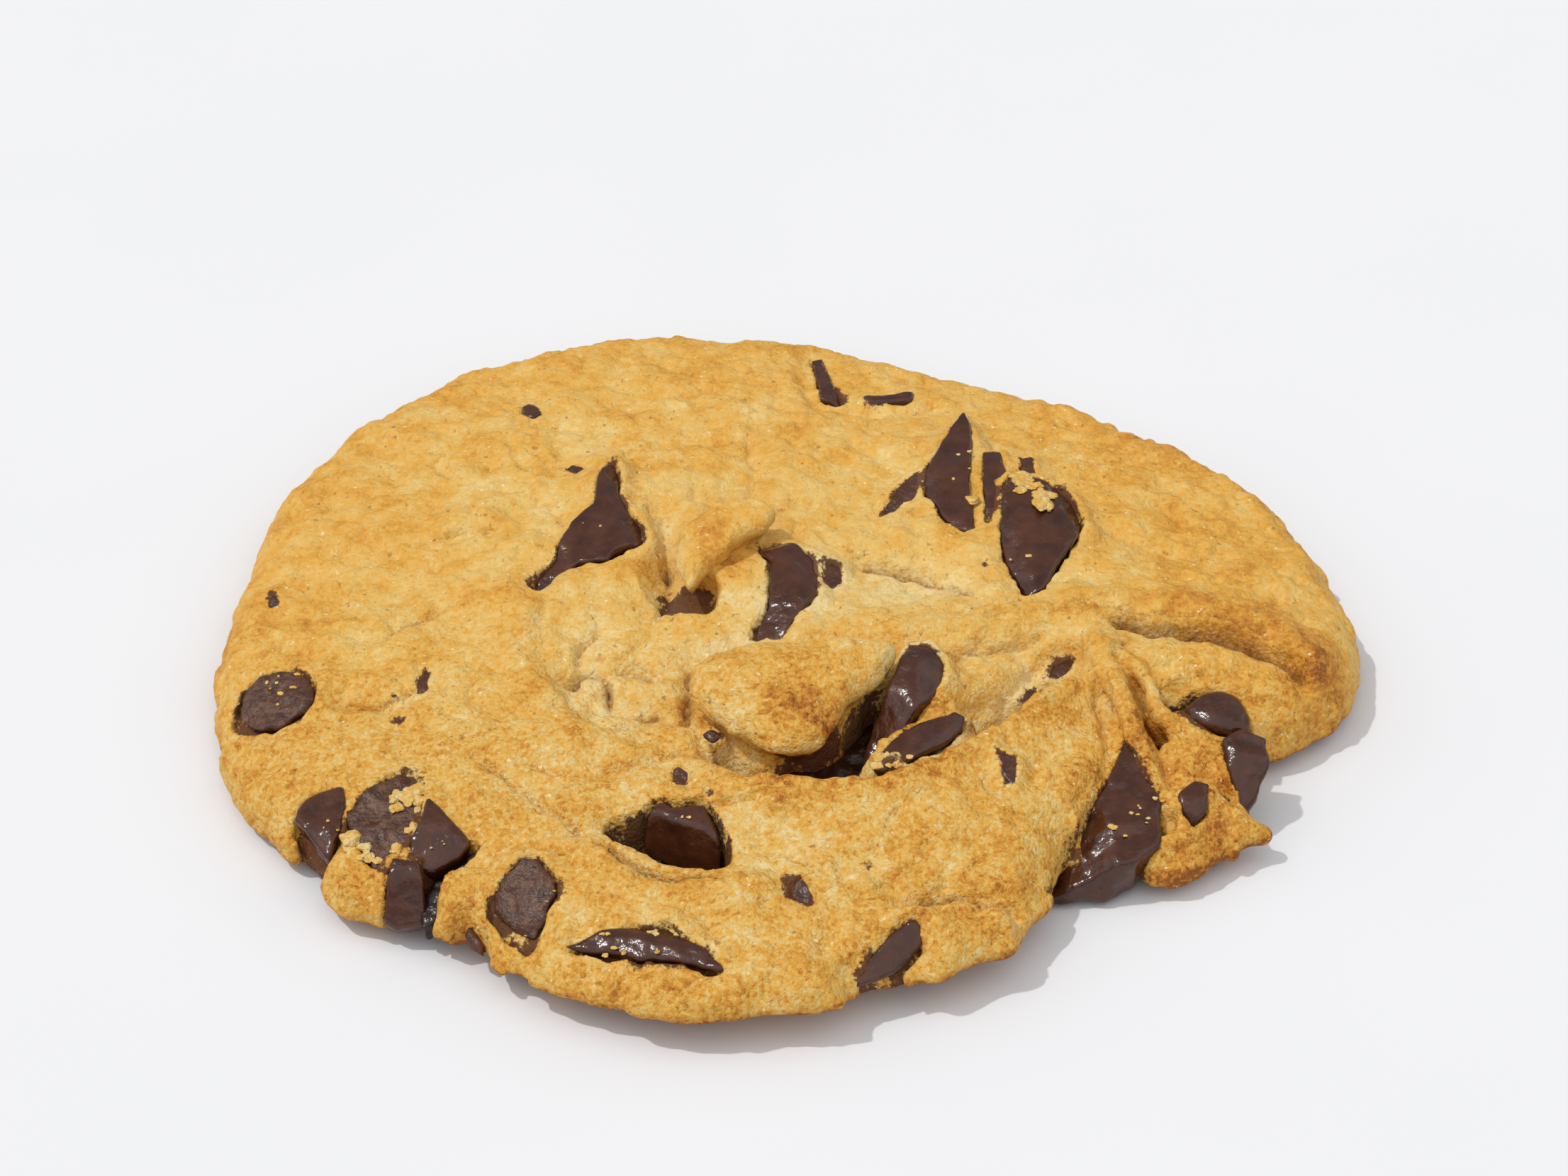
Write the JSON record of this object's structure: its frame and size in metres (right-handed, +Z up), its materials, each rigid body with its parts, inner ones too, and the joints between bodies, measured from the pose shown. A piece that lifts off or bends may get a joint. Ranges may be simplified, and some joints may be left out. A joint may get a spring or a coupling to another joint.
{
  "type": "chocolate chip cookie",
  "caption": "Large round soft-baked cookie, uneven and folded on top, flat below, with chunks and chips of dark chocolate set in golden dough.",
  "frame": {"origin": "middle of the cookie's box on the surface that it rests on", "axes": "+Z up out of the cookie's top, +X to the right of a viewer who looks along +Y over the folded near edge"},
  "size_m": [0.1076, 0.1038, 0.0133],
  "materials": {
    "dough": "baked golden crumb, matt, browner at the rim and on high folds",
    "chocolate": "dark chocolate, soft sheen, dull where smeared with dough"
  },
  "bodies": {
    "root": {"dough": "dough", "chip_far_left": "chocolate", "chip_front_left": "chocolate", "chip_in_crumb": "chocolate", "chip_left": "chocolate", "chunk_back_first": "chocolate", "chunk_back_second": "chocolate", "chunk_back_third": "chocolate", "chunk_centre": "chocolate", "chunk_crevice": "chocolate", "chunk_far_bar": "chocolate", "chunk_far_side": "chocolate", "chunk_front_pocket": "chocolate", "chunk_front_rim": "chocolate", "chunk_front_sliver": "chocolate", "chunk_left_inner": "chocolate", "chunk_left_middle": "chocolate", "chunk_left_outer": "chocolate", "chunk_left_rim": "chocolate", "chunk_nose_side": "chocolate", "chunk_notch_slab": "chocolate", "chunk_right_crease": "chocolate", "chunk_right_edge": "chocolate", "chunk_shard": "chocolate"}
  },
  "joints": []
}
